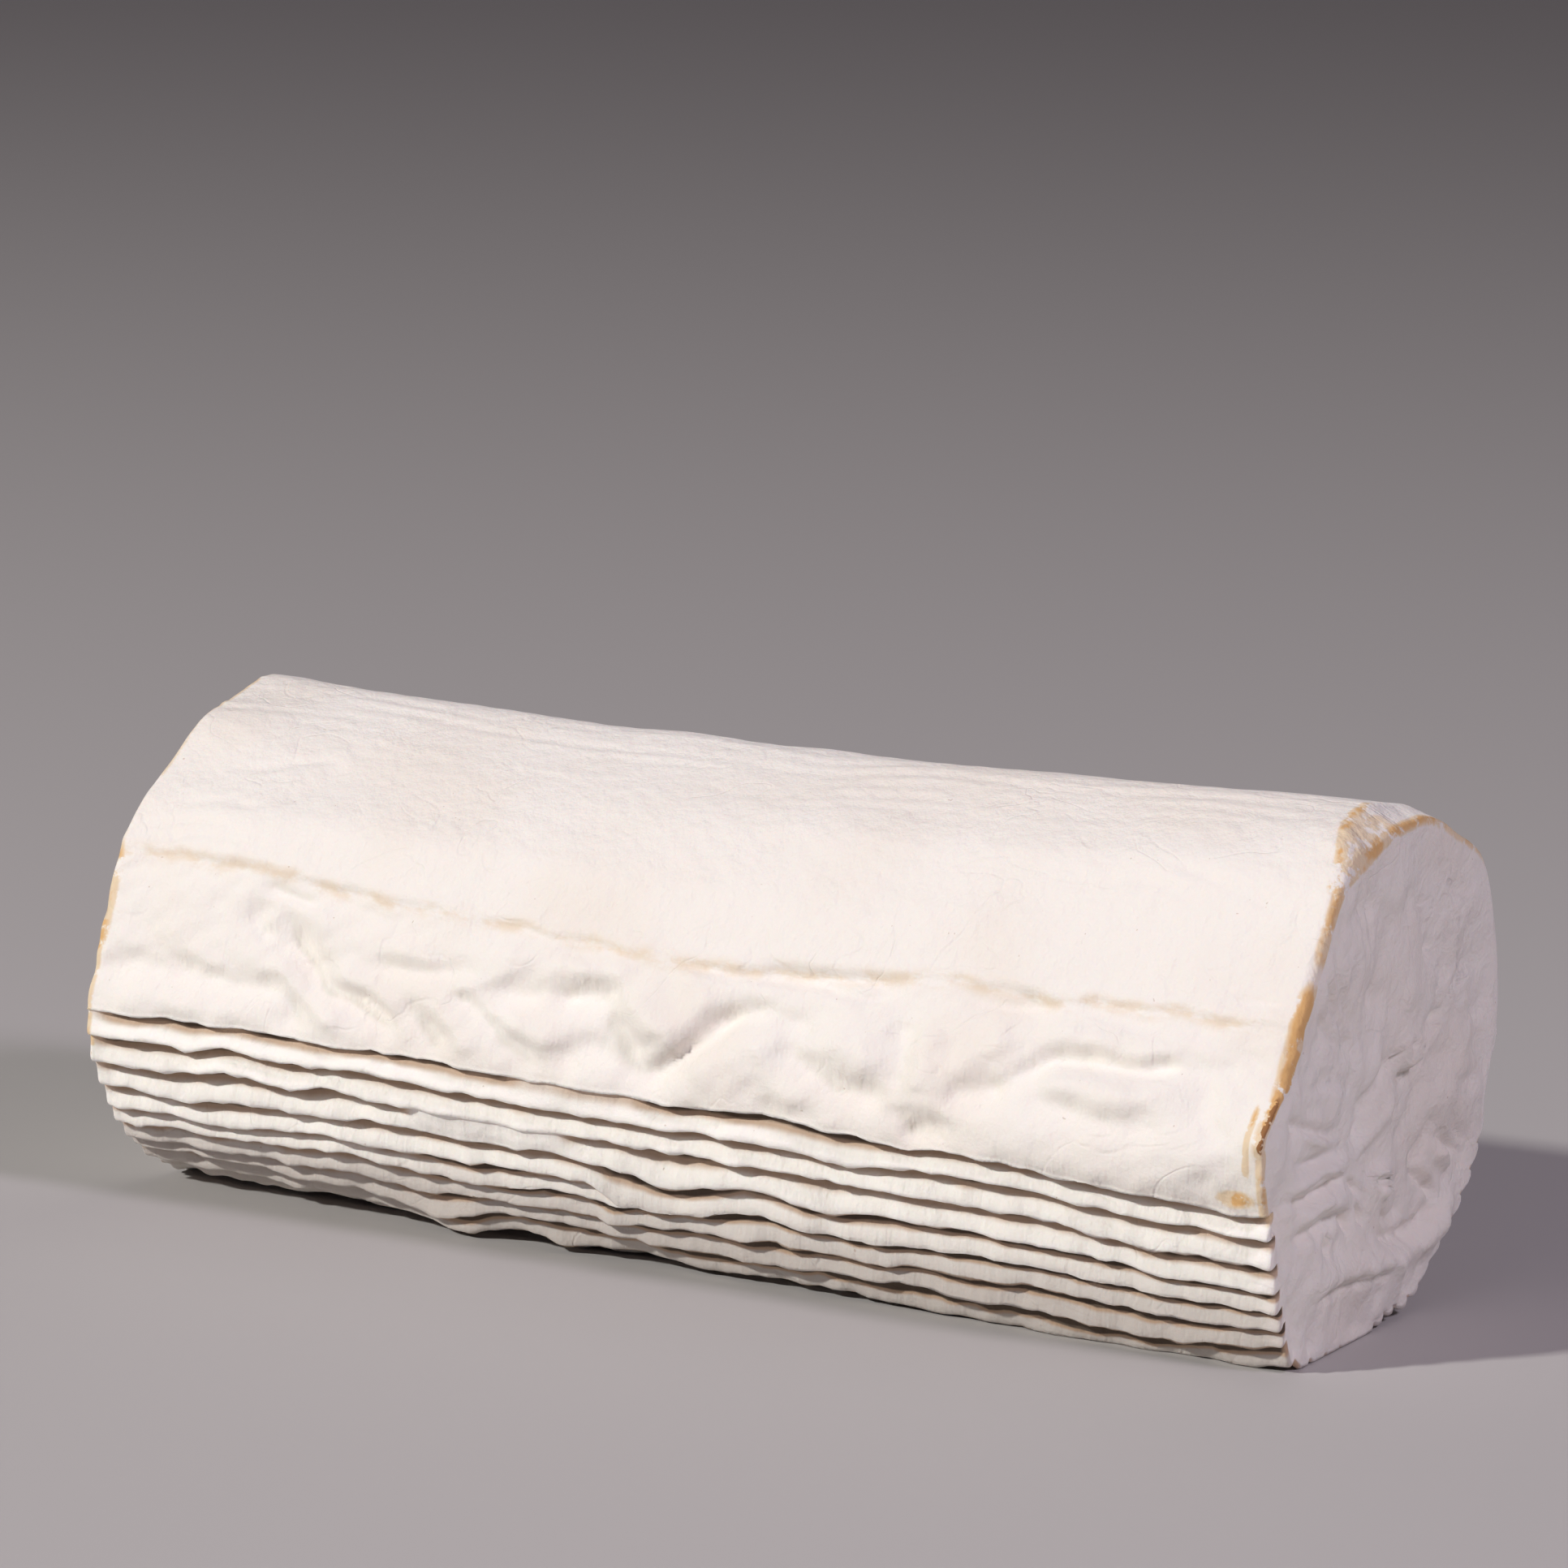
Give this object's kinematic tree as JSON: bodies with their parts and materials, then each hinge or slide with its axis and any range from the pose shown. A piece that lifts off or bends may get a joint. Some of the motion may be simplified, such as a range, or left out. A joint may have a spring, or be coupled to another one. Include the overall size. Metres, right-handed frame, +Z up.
{
  "type": "goat cheese log",
  "caption": "Whole ripened soft cheese log with a white rind that is smooth on top, lumpy in front and pleated along its lower side.",
  "frame": {"origin": "centre of the bounding box's bottom face, on the surface that the log lies on", "axes": "+X along the log towards the end with the bevelled top rim, +Z up, -Y towards the lumpy front face"},
  "size_m": [0.2052, 0.0848, 0.079],
  "materials": {
    "rind": "matt, slightly furry white rind with ochre stains at the rims"
  },
  "bodies": {
    "root": {"cheese_log": "rind"}
  },
  "joints": []
}
